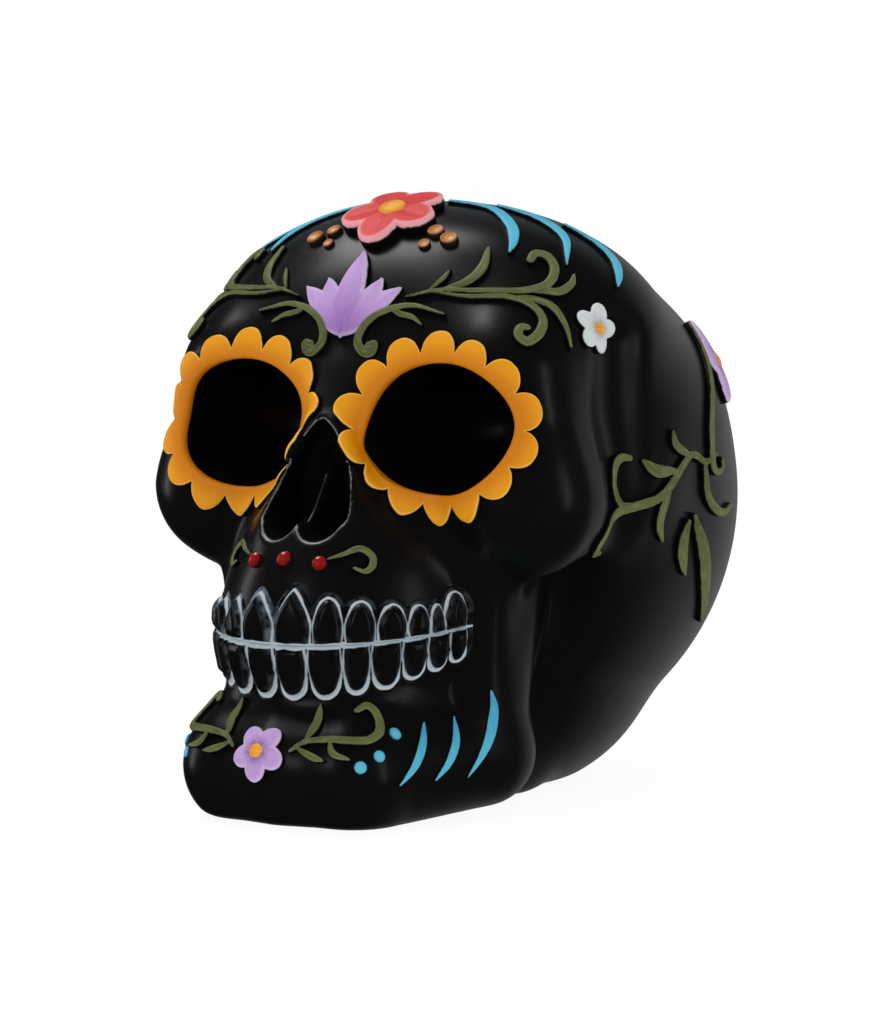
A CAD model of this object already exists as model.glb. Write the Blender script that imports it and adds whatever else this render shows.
# %% [markdown]
# # A painted sugar skull
# The real object is probably one black resin casting. Petals, flowers, vines, beads and strokes stand on
# it in low relief, and their tops look hand painted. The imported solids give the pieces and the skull's
# size, and some drawings lie a few millimetres from their solids, to match the photograph. This lesson
# dresses them: the skull's form is written as a distance function, every relief is laid on that form, and
# the paints are procedural. All lengths in the drawings are millimetres, and a mesh is turned into metres
# at the end.

# %% Load the frame
import math

import bpy
import numpy as np
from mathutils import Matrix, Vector


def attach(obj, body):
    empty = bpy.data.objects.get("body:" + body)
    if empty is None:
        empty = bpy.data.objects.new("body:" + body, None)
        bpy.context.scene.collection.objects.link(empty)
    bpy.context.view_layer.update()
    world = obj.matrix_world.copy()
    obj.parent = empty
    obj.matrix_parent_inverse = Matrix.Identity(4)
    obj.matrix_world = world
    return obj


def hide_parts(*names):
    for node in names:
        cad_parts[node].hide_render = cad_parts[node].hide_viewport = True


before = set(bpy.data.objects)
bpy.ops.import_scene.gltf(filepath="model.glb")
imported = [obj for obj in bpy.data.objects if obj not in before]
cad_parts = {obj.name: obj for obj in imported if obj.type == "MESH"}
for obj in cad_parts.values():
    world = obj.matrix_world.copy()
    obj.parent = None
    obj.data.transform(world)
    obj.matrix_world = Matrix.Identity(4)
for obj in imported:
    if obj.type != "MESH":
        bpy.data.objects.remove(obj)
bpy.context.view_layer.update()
METRE = 0.001

# %% [markdown]
# ## Camera
# The camera stands a little above the teeth and 32 degrees towards the skull's left, with a long lens.
# Its place comes from where the sockets, teeth and silhouette fall in the picture. Cameras and lamps are
# put in place in one way: so far out from a middle, looking back at it.

# %% Camera
AZIMUTH = math.radians(32)
ELEVATION = math.radians(4.49)
CAMERA_DISTANCE = 0.957
CAMERA_LENS = 134.6
SENSOR_WIDTH = 36
LOOKED_AT = Vector((0, 0, 0.069))


def put(name, data, middle, way, reach):
    """Puts a camera or lamp out along a way from a middle, looking back."""
    way = Vector(way).normalized()
    made = bpy.data.objects.new(name, data)
    made.location = middle + way * reach
    made.rotation_mode = "QUATERNION"
    made.rotation_quaternion = (-way).to_track_quat("-Z", "Y")
    bpy.context.scene.collection.objects.link(made)
    return made


camera_way = (
    math.sin(AZIMUTH) * math.cos(ELEVATION),
    -math.cos(AZIMUTH) * math.cos(ELEVATION),
    math.sin(ELEVATION),
)
camera = put("camera", bpy.data.cameras.new("camera"), LOOKED_AT, camera_way, CAMERA_DISTANCE)
camera.data.lens = CAMERA_LENS
camera.data.sensor_width = SENSOR_WIDTH
bpy.context.scene.camera = camera
print("camera at", tuple(camera.location))

# %% [markdown]
# ## Shader sums
# A finish is a sum of patterns. The class below wraps a socket, so that a sum reads like one: each
# operator adds a Math node. Every other node comes from the one method `node`.


# %% Shader sums
class Value:
    """A socket with a number, which adds Math nodes when it is used in a sum."""

    def __init__(self, finish, socket):
        self.finish = finish
        self.socket = socket

    def sum(self, operation, first, second):
        return self.finish.node("ShaderNodeMath", {"operation": operation}, {0: first, 1: second})

    def __add__(self, other):
        return self.sum("ADD", self, other)

    def __radd__(self, other):
        return self.sum("ADD", other, self)

    def __sub__(self, other):
        return self.sum("SUBTRACT", self, other)

    def __rsub__(self, other):
        return self.sum("SUBTRACT", other, self)

    def __mul__(self, other):
        return self.sum("MULTIPLY", self, other)

    def __rmul__(self, other):
        return self.sum("MULTIPLY", other, self)

    def __truediv__(self, other):
        return self.sum("DIVIDE", self, other)

    def __rtruediv__(self, other):
        return self.sum("DIVIDE", other, self)

    def least(self, other):
        return self.sum("MINIMUM", self, other)

    def most(self, other):
        return self.sum("MAXIMUM", self, other)

    def size(self):
        return self.sum("ABSOLUTE", self, 0)

    def step(self, low, high):
        """0 below low, 1 above high, and a soft slope between them."""
        values = {"Value": self, "From Min": low, "From Max": high}
        return self.finish.node("ShaderNodeMapRange", {"interpolation_type": "SMOOTHSTEP"}, values)


class Finish:
    """A node material with one Principled shader, and the paint slot that it belongs to."""

    def __init__(self, name, slot=None):
        self.slot = slot or name
        self.material = bpy.data.materials.new(name)
        self.material.use_nodes = True
        self.tree = self.material.node_tree
        self.shader = self.tree.nodes["Principled BSDF"]

    def node(self, kind, settings, values, output=0):
        made = self.tree.nodes.new(kind)
        for key, value in settings.items():
            setattr(made, key, value)
        for key, value in values.items():
            self.feed(made.inputs[key], value)
        return Value(self, made.outputs[output])

    def feed(self, socket, value):
        if isinstance(value, Value):
            self.tree.links.new(value.socket, socket)
        else:
            socket.default_value = value

    def set(self, **values):
        for key, value in values.items():
            self.feed(self.shader.inputs[key.replace("_", " ").title().replace("Ior", "IOR")], value)

    def place(self):
        return self.node("ShaderNodeTexCoord", {}, {}, "Object")

    def read(self, name, output="Fac"):
        return self.node("ShaderNodeAttribute", {"attribute_name": name}, {}, output)

    def noise(self, vector, scale, detail=2.0):
        return self.node("ShaderNodeTexNoise", {}, {"Vector": vector, "Scale": scale, "Detail": detail})

    def stretched(self, vector, scale):
        return self.node("ShaderNodeMapping", {}, {"Vector": vector, "Scale": scale}, "Vector")

    def mix(self, share, first, second):
        """A colour between two colours."""
        return self.node("ShaderNodeMix", {"data_type": "RGBA"}, {0: share, 6: first, 7: second}, 2)

    def bump(self, height, strength, distance):
        values = {"Height": height, "Strength": strength, "Distance": distance}
        self.set(normal=self.node("ShaderNodeBump", {}, values))


def shade(red, green, blue):
    """A colour given as the 0 to 255 numbers of a paint chart."""
    def straight(v):
        v /= 255
        return v / 12.92 if v <= 0.04045 else ((v + 0.055) / 1.055) ** 2.4
    return (straight(red), straight(green), straight(blue), 1.0)


BLACK = shade(10, 10, 11)
print("black as a linear colour", [round(v, 4) for v in BLACK])

# %% [markdown]
# ## Light and floor
# Black lacquer shows only what it mirrors, so the light comes in two parts. A plain white sky lights the
# paints, but mirrors see it dark, except behind the skull, where its white backdrop glints along the
# outline. A few soft boxes then lay each sheen where it belongs: one high on the left for the forehead,
# one at each side, and a small one in front for the muzzle and chin.


# %% Light and floor
class Sky(Finish):
    """The world's node tree."""

    def __init__(self, name):
        world = bpy.data.worlds.new(name)
        bpy.context.scene.world = world
        world.use_nodes = True
        self.tree = world.node_tree
        self.shader = self.tree.nodes["Background"]


SKULL_MIDDLE = Vector((0, 0, 0.09))
SOFT_BOXES = {
    # direction, reach, width, height, watts
    "overhead_box": ((-0.45, 0.03, 0.87), 0.9, 0.5, 0.45, 2.6),
    "left_box": ((-1, -0.2, 0.12), 1.0, 0.16, 0.6, 0.5),
    "right_box": ((0.97, -0.08, 0.12), 1.0, 0.08, 0.7, 0.3),
    "front_box": ((-0.16, -0.91, 0.3), 1.2, 0.12, 0.3, 0.3),
}
for name, (way, reach, width, height, watts) in SOFT_BOXES.items():
    lamp = put(name, bpy.data.lights.new(name, "AREA"), SKULL_MIDDLE, way, reach)
    lamp.data.shape = "RECTANGLE"
    lamp.data.size = width
    lamp.data.size_y = height
    lamp.data.energy = watts

SKY_PAINTS = 0.88
SKY_MIRRORED = 0.008
SKY_BEHIND = 0.28
BACKDROP_EDGE = 0.45
bpy.context.scene.view_settings.view_transform = "Standard"
sky = Sky("studio")
sky_seen = sky.node("ShaderNodeLightPath", {}, {}, "Is Camera Ray")
sky_mirrored = sky.node("ShaderNodeLightPath", {}, {}, "Is Glossy Ray")
sky_way = sky.node("ShaderNodeTexCoord", {}, {}, "Generated")
sky_behind = sky.node("ShaderNodeSeparateXYZ", {}, {0: sky_way}, "Y").step(BACKDROP_EDGE, 1.0)
sky_glow = sky_mirrored * (SKY_MIRRORED + sky_behind * SKY_BEHIND) + (1.0 - sky_mirrored) * SKY_PAINTS
sky.set(color=(1, 1, 1, 1), strength=sky_seen.most(sky_glow))

FLOOR_HALF = 4
FLOOR_DROP = 0.0002
FLOOR_GLOW = 0.94
floor_mesh = bpy.data.meshes.new("floor")
floor_signs = ((-1, -1), (1, -1), (1, 1), (-1, 1))
floor_corners = [(x * FLOOR_HALF, y * FLOOR_HALF, -FLOOR_DROP) for x, y in floor_signs]
floor_mesh.from_pydata(floor_corners, [], [(0, 1, 2, 3)])
floor = bpy.data.objects.new("floor", floor_mesh)
bpy.context.scene.collection.objects.link(floor)
floor_finish = Finish("pale_floor")
floor_finish.set(base_color=(0.1, 0.1, 0.1, 1), roughness=0.9, specular_ior_level=0)
floor_finish.set(emission_color=(1, 1, 1, 1), emission_strength=FLOOR_GLOW)
floor.data.materials.append(floor_finish.material)
floor.visible_glossy = False

# %% [markdown]
# ## The skull's form
# A skull is hard to build from faces and easy to write as a distance: ellipsoids for braincase, forehead
# and muzzle, rods for brows, cheekbones and jaw, each run softly into the next. A distance is negative
# inside a form and positive outside it, so two forms join where the smaller number is taken.


# %% Forms as distances
def unit(v):
    return v / np.maximum(np.linalg.norm(v, axis=-1, keepdims=True), 1e-9)


def ellipsoid(p, at, size):
    radius = np.asarray(size, float) / 2
    share = (p - np.asarray(at, float)) / radius
    near = np.sqrt((share ** 2).sum(-1))
    slope = np.sqrt(((share / radius) ** 2).sum(-1))
    return near * (near - 1) / np.maximum(slope, 1e-9)


def rod(p, start, end, start_radius, end_radius):
    start = np.asarray(start, float)
    way = np.asarray(end, float) - start
    off = p - start
    t = np.clip((off @ way) / (way @ way), 0, 1)
    away = off - t[..., None] * way
    return np.sqrt((away ** 2).sum(-1)) - start_radius - (end_radius - start_radius) * t


def rounded_box(p, at, size, radius):
    q = np.abs(p - np.asarray(at, float)) - np.asarray(size, float) / 2 + radius
    outside = np.sqrt((np.maximum(q, 0) ** 2).sum(-1))
    return outside + np.minimum(q.max(-1), 0) - radius


def blend(a, b, soft):
    """Both forms, run together over a softness in millimetres."""
    near = np.maximum(soft - np.abs(a - b), 0) / soft
    return np.minimum(a, b) - near * near * soft / 4


def wear(a, b, soft):
    """The first form with the second taken out of it."""
    return -blend(-a, b, soft)


def slope_of(form, p, reach):
    """The way straight out of a form."""
    return unit(np.stack([form(p + s) - form(p - s) for s in np.eye(3) * reach], -1))


print("a point 5 mm off a 2 mm rod lies at", rod(np.array([[5, 0, 0]]), (0, 0, -9), (0, 0, 9), 2, 2), "mm")

# %% [markdown]
# ## Bones
# Every bone is drawn for one half of the head. The distance takes x without its sign, so the other half
# is its mirror image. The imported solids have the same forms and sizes. Only the nose differs: here its
# bridge lies further back, its edges are softer and a septum stands in it.

# %% Bones
EYE_LIFT = 92.8
EYE_SPREAD = 28
SOCKET_SIZE = (42, 64, 32.6)
SOCKET_FRONTSET = 50
BROW_LIFT = EYE_LIFT + 12.2
CHEEK = (42.7, -32.3, EYE_LIFT - 16.3)
CHEEK_RADIUS = 17.3
CHIN_CORNER = (15, -66, 12.5)
JAW_ANGLE = (30, -33, 15)
RAMUS_TOP = 62
MUZZLE_MIDDLE = (0, -34, 46)
MUZZLE_SIZE = (68, 85, 76)
BRAINCASE = ((0, 19.8, 72.2), (121.7, 140.4, 132.8))
FOREHEAD = ((0, -5, 113.8), (121.2, 78.2, 65.1))
CROWN_DOME = ((0, 13.3, 92.8), (119, 99.7, 77.1))
HEAD_FOOT = ((0, 14, 22), (76, 96, 52))


def brow_and_cheek(p):
    d = rod(p, (0, -30.2, BROW_LIFT), (36, -33.8, BROW_LIFT), 13.9, 13.9)
    d = blend(d, rod(p, (41.1, -33.5, BROW_LIFT - 2), CHEEK, 12.4, CHEEK_RADIUS), 8)
    d = blend(d, rod(p, CHEEK, (48, 0, CHEEK[2]), CHEEK_RADIUS, 9), 8)
    return blend(d, rounded_box(p, (0, -20.2, EYE_LIFT - 4.8), (80, 46.5, 48), 10), 3)


def chin_and_jaw(p):
    d = rod(p, (0, -69, 12.5), CHIN_CORNER, 15, 15)
    d = blend(d, rod(p, CHIN_CORNER, JAW_ANGLE, 15, 13), 2)
    return blend(d, rounded_box(p, (0, -33, 13), (48, 72, 28), 6), 6)


def ramus(p):
    d = rod(p, JAW_ANGLE, (33, -23, RAMUS_TOP), 10, 8)
    return blend(d, rod(p, (30, -37, 15), (33, -37, RAMUS_TOP), 8, 8), 6)


def nose_bridge(p):
    return rod(p, (0, -45.8, EYE_LIFT + 11.2), (0, -54.7, EYE_LIFT - 20.8), 5.1, 9.2)


def nose_wing(p):
    bend = (3.2, -55.3, EYE_LIFT - 7.8)
    d = rod(p, (0.8, -53, EYE_LIFT - 1.2), bend, 4.3, 5.5)
    return np.minimum(d, rod(p, bend, (7.2, -56.8, EYE_LIFT - 24.8), 5.5, 7.2))


def temple_hollow(p):
    return rod(p, (64, -17, EYE_LIFT - 27), (62, -17, EYE_LIFT + 19), 5, 5)


def hollow_behind_jaw(p):
    return rod(p, (45, -22, 0), (48, -22, RAMUS_TOP - 11), 11, 11)


def skin(points):
    """Distance to the skull's skin, before sockets, nose and base are cut."""
    p = np.array(points, float)
    p[..., 0] = np.abs(p[..., 0])
    d = ellipsoid(p, *BRAINCASE)
    d = blend(d, ellipsoid(p, *FOREHEAD), 14)
    d = blend(d, ellipsoid(p, *CROWN_DOME), 14)
    d = blend(d, ellipsoid(p, *HEAD_FOOT), 8)
    d = blend(d, brow_and_cheek(p), 14.1)
    d = blend(d, nose_bridge(p), 6)
    d = blend(d, nose_wing(p), 3)
    d = blend(d, ellipsoid(p, MUZZLE_MIDDLE, MUZZLE_SIZE), 8)
    d = wear(d, temple_hollow(p), 8)
    d = wear(d, hollow_behind_jaw(p), 6)
    d = blend(d, chin_and_jaw(p), 10)
    return blend(d, ramus(p), 4)


def outward(p):
    return slope_of(skin, p, 0.25)


def settle(p, rounds=2):
    """Moves points straight onto the skin."""
    for _ in range(rounds):
        p = p - outward(p) * skin(p)[..., None]
    return p


def meet(start, way, rounds=90):
    """The first point of the skin on straight ways in."""
    p = np.array(start, float)
    way = np.broadcast_to(np.asarray(way, float), p.shape)
    for _ in range(rounds):
        p = p + way * (skin(p) * 0.7)[..., None]
    return p


print("crown over the middle at", meet([[0, 0, 200]], (0, 0, -1))[0].round(1))

# %% [markdown]
# ## The casting's cuts
# Sockets are deep ellipsoids. The nose is an upturned heart with a thin septum that stands in it. The
# base is flat, and every edge is a little round, because resin never fills a mould's sharp corner.

# %% Cuts and the whole casting
NOSE_WIDTH = 22
NOSE_HEIGHT = 28
NOSE_FOOT = 66.8
NOSE_FLOOR = -50
SEPTUM_HEIGHT = 11
SEPTUM_HALF = 1.8
SEPTUM_TOP = NOSE_FOOT + 22
SEPTUM_FALL = 17


def nose_half(z):
    climb = np.clip((z - 5) / (NOSE_HEIGHT - 5), 0, 1)
    return (NOSE_WIDTH / 2 + 0.2) * (1 - climb ** 1.5) ** 0.65


def nose_outline(x, z):
    """Distance to the heart in the front view: a tall taper on two round lobes."""
    x = np.abs(x)
    z = z - NOSE_FOOT
    lobe = np.hypot(x - NOSE_WIDTH / 4, z - NOSE_WIDTH / 4) - NOSE_WIDTH / 4
    slope = np.clip((nose_half(z - 0.1) - nose_half(z + 0.1)) / 0.2, 0, 3)
    lean = (nose_half(z) - x) / np.sqrt(1 + slope ** 2)
    taper = np.maximum(-lean, np.maximum(5.2 - z, z - NOSE_HEIGHT))
    return blend(lobe, taper, 2.0)


def nose(p):
    """The opening, down to a floor from which the septum rises."""
    x, y, z = p[..., 0], p[..., 1], p[..., 2]
    septum = SEPTUM_HEIGHT * np.exp(-(x / SEPTUM_HALF) ** 2) * np.clip((SEPTUM_TOP - z) / SEPTUM_FALL, 0, 1)
    steep = 2 * septum * x / SEPTUM_HALF ** 2
    floor_depth = (y - NOSE_FLOOR + septum) / np.sqrt(1 + steep ** 2)
    return wear(nose_outline(x, z), -floor_depth, 2.0)


def casting(points):
    p = np.array(points, float)
    p[..., 0] = np.abs(p[..., 0])
    d = skin(p)
    d = wear(d, ellipsoid(p, (EYE_SPREAD, -SOCKET_FRONTSET, EYE_LIFT), SOCKET_SIZE), 1.2)
    d = wear(d, nose(p), 1.0)
    return wear(d, p[..., 2], 2.5)


print("nose opening", NOSE_WIDTH, "x", NOSE_HEIGHT, "mm, socket", SOCKET_SIZE, "mm")

# %% [markdown]
# ## From distance to mesh
# A surface net puts one point in every grid cell that the skin passes through and joins neighbours with
# quads. The points are then moved onto the skin itself, which takes the grid's steps out. The grid is
# fine over the face and coarser over the plain back of the head.


# %% Surface net
def surface_net(value, axes):
    """Points and quads of the surface where the values on a grid change their sign."""
    inside = value < 0
    shape = np.array(value.shape)
    count = np.zeros(shape - 1, np.int8)
    for i, j, k in np.ndindex(2, 2, 2):
        count += inside[i:shape[0] - 1 + i, j:shape[1] - 1 + j, k:shape[2] - 1 + k]
    cells = np.argwhere((count > 0) & (count < 8))
    number = np.full(shape - 1, -1)
    number[tuple(cells.T)] = np.arange(len(cells))
    points = np.zeros((len(cells), 3))
    crossings = np.zeros(len(cells))
    quads = []
    for axis in range(3):
        one, two = (axis + 1) % 3, (axis + 2) % 3
        for a, b in np.ndindex(2, 2):
            low = cells.copy()
            low[:, one] += a
            low[:, two] += b
            high = low.copy()
            high[:, axis] += 1
            first, second = value[tuple(low.T)], value[tuple(high.T)]
            cross = (first < 0) != (second < 0)
            t = np.where(cross, first / np.where(cross, first - second, 1), 0)
            p = np.stack([axes[d][low[:, d]] for d in range(3)], -1)
            p[:, axis] += t * (axes[axis][high[:, axis]] - axes[axis][low[:, axis]])
            points += np.where(cross[:, None], p, 0)
            crossings += cross
        lows = [slice(1, n - 1) for n in shape]
        lows[axis] = slice(0, shape[axis] - 1)
        highs = list(lows)
        highs[axis] = slice(1, shape[axis])
        change = inside[tuple(lows)] != inside[tuple(highs)]
        edge = np.argwhere(change) + [s.start for s in lows]
        step_one, step_two = np.eye(3, dtype=int)[one], np.eye(3, dtype=int)[two]
        ring = [edge - step_one - step_two, edge - step_two, edge, edge - step_one]
        quad = np.stack([number[tuple(r.T)] for r in ring], -1)
        out = inside[tuple(edge.T)]
        quads.append(np.where(out[:, None], quad, quad[:, ::-1]))
    return points / crossings[:, None], np.concatenate(quads)


FACE_CELL = 0.94
BACK_CELL = 2.6
FACE_END = -14
half_x = np.arange(0.5, 74) * FACE_CELL
axis_x = np.concatenate([-half_x[::-1], half_x])
axis_y = np.concatenate([np.arange(-88, FACE_END, FACE_CELL), np.arange(FACE_END, 96, BACK_CELL)])
axis_z = np.arange(-1.5 * FACE_CELL, 150, FACE_CELL)
half_grid = np.stack(np.meshgrid(half_x, axis_y, axis_z, indexing="ij"), -1)
half_value = np.concatenate([casting(slab[None]) for slab in half_grid])
whole_value = np.concatenate([half_value[::-1], half_value])
skull_points, skull_quads = surface_net(whole_value, (axis_x, axis_y, axis_z))
for _ in range(3):
    reach = np.clip(casting(skull_points), -0.6, 0.6)
    skull_points = skull_points - slope_of(casting, skull_points, 0.2) * reach[:, None]
skull_points[:, 2] = np.maximum(skull_points[:, 2], 0)
print("casting", len(skull_points), "points", 2 * len(skull_quads), "triangles")

# %% [markdown]
# ## Pieces
# Every piece is a plain mesh in metres that rides on the one body, stands for the solids that it dresses
# and names its paint slot. Point attributes carry what its paint has to know, such as the distance to an
# edge.


# %% Piece
def claim(made, nodes):
    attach(made, "root")
    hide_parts(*nodes)
    return made


def piece(name, points, faces, finish, nodes, **attributes):
    mesh = bpy.data.meshes.new(name)
    mesh.from_pydata((np.asarray(points) * METRE).tolist(), [], [list(map(int, f)) for f in faces])
    mesh.polygons.foreach_set("use_smooth", np.ones(len(mesh.polygons), bool))
    for key, values in attributes.items():
        flat = np.asarray(values, np.float32)
        kind, field = ("FLOAT_VECTOR", "vector") if flat.ndim == 2 else ("FLOAT", "value")
        mesh.attributes.new(key, kind, "POINT").data.foreach_set(field, flat.ravel())
    mesh.materials.append(finish.material)
    mesh.update()
    made = bpy.data.objects.new(name, mesh)
    bpy.context.scene.collection.objects.link(made)
    print(name, len(points), "points", len(faces), "faces")
    return claim(made, nodes)


def mirrored(points, faces):
    return np.asarray(points) * (-1, 1, 1), [f[::-1] for f in faces]


# %% [markdown]
# ## Black lacquer
# The casting is sprayed with a satin black. A plain black with one roughness looks like plastic, so slow
# noise moves the roughness and bends the normal a little, as uneven spray does. The deep parts are
# darker, because no light and little spray gets in, and the edges of the nose opening and of its septum
# are rubbed to thin grey lines. Between the brows the lacquer is duller.


# %% Black lacquer
def black_lacquer(name):
    """A finish with the spray's uneven normal, and the spray's roughness."""
    finish = Finish(name, "black_resin")
    place = finish.place()
    cloud = finish.noise(place, 38.0, 4.0)
    grain = finish.noise(place, 900.0, 3.0)
    finish.bump(cloud * 0.6 + grain * 0.05, 0.3, 0.0006)
    return finish, 0.19 + cloud * 0.14 + grain * 0.04


lacquer, spray = black_lacquer("black_lacquer")
deep = lacquer.read("deep").step(0.8, 9.0)
nose_rim = lacquer.read("nose_rim")
scuff = lacquer.noise(lacquer.place(), 160.0)
nose_line = 1.0 - ((nose_rim - 0.35).size() - 0.04 - scuff * 0.1).step(0.0, 0.14)
nose_line = nose_line * (0.4 + scuff.step(0.3, 0.55) * 0.6)
septum_line = 1.0 - (lacquer.read("septum").size() - 0.08).step(0.0, 0.2)
septum_line = septum_line * (1.0 - nose_rim.step(-0.7, 0.1)) * (0.3 + scuff.step(0.35, 0.6) * 0.7)
black = lacquer.mix(deep, shade(9, 9, 9), shade(2, 2, 2))
black = lacquer.mix(septum_line * 0.6, black, shade(92, 93, 96))
lacquer.set(base_color=lacquer.mix(nose_line * 0.5, black, shade(150, 151, 155)))
lacquer.set(roughness=spray + deep * 0.12 + lacquer.read("dull") * 0.5)

GLABELLA = (0, -51, EYE_LIFT + 12)
GLABELLA_RADIUS = 9
OFF_LINE = 9
skull_x, skull_y, skull_z = skull_points.T
from_glabella = np.linalg.norm(skull_points - GLABELLA, axis=-1)
piece("skull_casting", skull_points, skull_quads, lacquer, ["cranium", "lower_jaw"],
      deep=-skin(skull_points), dull=np.exp(-(from_glabella / GLABELLA_RADIUS) ** 2),
      septum=np.where(skull_z < NOSE_FOOT + 15, skull_x, OFF_LINE),
      nose_rim=np.where(skull_y < -46, nose_outline(skull_x, skull_z), OFF_LINE))

# %% [markdown]
# ## Drawing on a curved skin
# A carver draws an ornament flat and bends it over the form. A seat is the point where the drawing
# starts, with its own right, up and out. A sheet walks a coarse lattice over the skin from there, and
# every drawn point is then read from the lattice and set onto the skin.


# %% Seats and sheets
class Seat:
    """A point on the skin with its own right, up and out."""

    STEP = 2.5

    def __init__(self, point, towards=(0, 0, 1)):
        towards = np.asarray(towards, float)
        self.point = np.asarray(point, float)
        self.out = outward(self.point[None])[0]
        self.up = unit(towards - self.out * (self.out @ towards))
        self.right = np.cross(self.up, self.out)

    def walk(self, u, v):
        """Goes u to the right and v up along the skin."""
        reach = np.hypot(u, v)[..., None]
        ahead = unit(u[..., None] * self.right + v[..., None] * self.up)
        p = np.broadcast_to(self.point, ahead.shape)
        steps = max(2, math.ceil(reach.max() / self.STEP))
        for _ in range(steps):
            p = settle(p + ahead * reach / steps, 1)
            ahead = along_skin(ahead, outward(p))
        return settle(p)

    def at(self, u, v):
        return self.walk(np.array([float(u)]), np.array([float(v)]))[0]


def along_skin(ahead, out):
    """The way ahead, turned to follow the skin."""
    return unit(ahead - out * (ahead * out).sum(-1, keepdims=True))


def read_net(net, share):
    """Skin points between the knots of a net, and the ways out of the skin there."""
    cell = np.clip(share.astype(int), 0, np.array(net.shape[:2]) - 2)
    t = (share - cell)[..., None]
    i, j = cell[..., 0], cell[..., 1]
    low = net[i, j] * (1 - t[..., 0, :]) + net[i + 1, j] * t[..., 0, :]
    high = net[i, j + 1] * (1 - t[..., 0, :]) + net[i + 1, j + 1] * t[..., 0, :]
    p = settle(low * (1 - t[..., 1, :]) + high * t[..., 1, :])
    return p, outward(p)


class Sheet:
    """A stretch of skin round a seat, on which flat drawings are laid."""

    PITCH = 2.0

    def __init__(self, seat, left, right, low, high):
        self.corner = np.array([left, low]) - self.PITCH
        u = np.arange(self.corner[0], right + 2 * self.PITCH, self.PITCH)
        v = np.arange(self.corner[1], high + 2 * self.PITCH, self.PITCH)
        self.net = seat.walk(*np.meshgrid(u, v, indexing="ij"))

    def lay(self, u, v):
        return read_net(self.net, (np.stack([u, v], -1) - self.corner) / self.PITCH)


def from_front(x, z):
    return meet([[x, -130, z]], (0, 1, 0))[0]


def from_side(y, z):
    return meet([[110, y, z]], (-1, 0, 0))[0]


def from_above(x, y):
    return meet([[x, y, 200]], (0, 0, -1))[0]


BACKWARDS = (0, 1, 0)
lotus_seat = Seat(from_front(0, 113.8))
blossom_seat = Seat(lotus_seat.at(0, 37.6), BACKWARDS)
crown_seat = Seat(from_above(0, -20), BACKWARDS)
brow_seat = Seat(from_front(30.5, 124.9))
daisy_seat = Seat(from_side(-22.1, 116.2))
side_seat = Seat(from_side(-3.5, 84.1))
side_flower_seat = Seat(side_seat.at(47.8, 24.2))
lip_seat = Seat(from_front(0, 62.7))
chin_seat = Seat(from_front(0, 18.4))
jaw_seat = Seat(from_side(-61.8, 18.8))
print("lotus foot at", lotus_seat.point.round(1), "blossom at", blossom_seat.point.round(1))

# %% [markdown]
# ## Strokes and petals
# A vine, leaf or brush stroke is a curve with a width that swells and tapers. A petal is a wide stroke.
# Each drawing answers three questions at a point of the sheet: how far inside the outline it is, how high
# it stands, and where along the stroke it lies, which the paint uses for its streaks.

# %% Drawings
STROKE_POINTS = 44
ROUNDED = 0.9


def through(points):
    """A smooth curve through the drawn points."""
    p = np.asarray(points, float)
    p = np.concatenate([[2 * p[0] - p[1]], p, [2 * p[-1] - p[-2]]])
    t = np.linspace(0, len(p) - 3, STROKE_POINTS)
    i = np.minimum(t.astype(int), len(p) - 4)
    t = (t - i)[:, None]
    a, b, c, d = p[i], p[i + 1], p[i + 2], p[i + 3]
    return b + t * (c - a + t * (2 * a - 5 * b + 4 * c - d + t * (3 * b - a - 3 * c + d))) / 2


def shoulder(edge, width):
    """A rounded edge: half height on the outline, full height a little way in."""
    share = np.clip(edge / np.maximum(width, 0.05), 0, 1)
    return 0.5 + 0.5 * np.sqrt(1 - (1 - share) ** 2)


class Stroke:
    """A path with its widths at root, belly and tip, its relief and the rise of its middle ridge."""

    def __init__(self, path, root, belly, tip, relief, ridge=0.0):
        self.way = through(path)
        t = np.linspace(0, 1, len(self.way))
        full = root * (1 - t) * (1 - 2 * t) + 4 * belly * t * (1 - t) + tip * t * (2 * t - 1)
        self.half = np.maximum(full / 2, 0.2)
        self.length = np.linalg.norm(np.diff(self.way, axis=0), axis=1).cumsum()
        self.relief = relief
        self.ridge = ridge

    def box(self):
        wide = self.half.max() + 0.6
        return (*(self.way.min(0) - wide), *(self.way.max(0) + wide))

    def draw(self, u, v):
        """Distance in from the edge, height, share of the length, way along and way to the side."""
        edge = np.full(u.shape, -1e3)
        along = np.zeros(u.shape)
        half = np.ones(u.shape)
        side = np.zeros(u.shape)
        for i, (a, b) in enumerate(zip(self.way[:-1], self.way[1:])):
            w = b - a
            t = np.clip(((u - a[0]) * w[0] + (v - a[1]) * w[1]) / (w @ w), 0, 1)
            x, y = u - a[0] - t * w[0], v - a[1] - t * w[1]
            r = self.half[i] + (self.half[i + 1] - self.half[i]) * t
            inside = r - np.hypot(x, y)
            better = inside > edge
            edge = np.where(better, inside, edge)
            along = np.where(better, self.length[i] + (t - 1) * np.hypot(*w), along)
            half = np.where(better, r, half)
            side = np.where(better, (w[0] * y - w[1] * x) / np.hypot(*w), side)
        crest = np.clip(edge / half, 0, 1)
        high = self.relief * shoulder(edge, np.minimum(half * 0.9, ROUNDED)) + self.ridge * crest
        return edge, high, along / self.length[-1], along, side


class Petal(Stroke):
    """A wide stroke from a flower's middle outwards."""

    def __init__(self, angle, start, end, belly, relief, ridge, tip):
        way = np.array([math.cos(angle), math.sin(angle)])
        path = [way * start, way * (start * 0.45 + end * 0.55), way * end]
        super().__init__(path, belly * 0.3, belly, belly * tip, relief, ridge)


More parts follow.
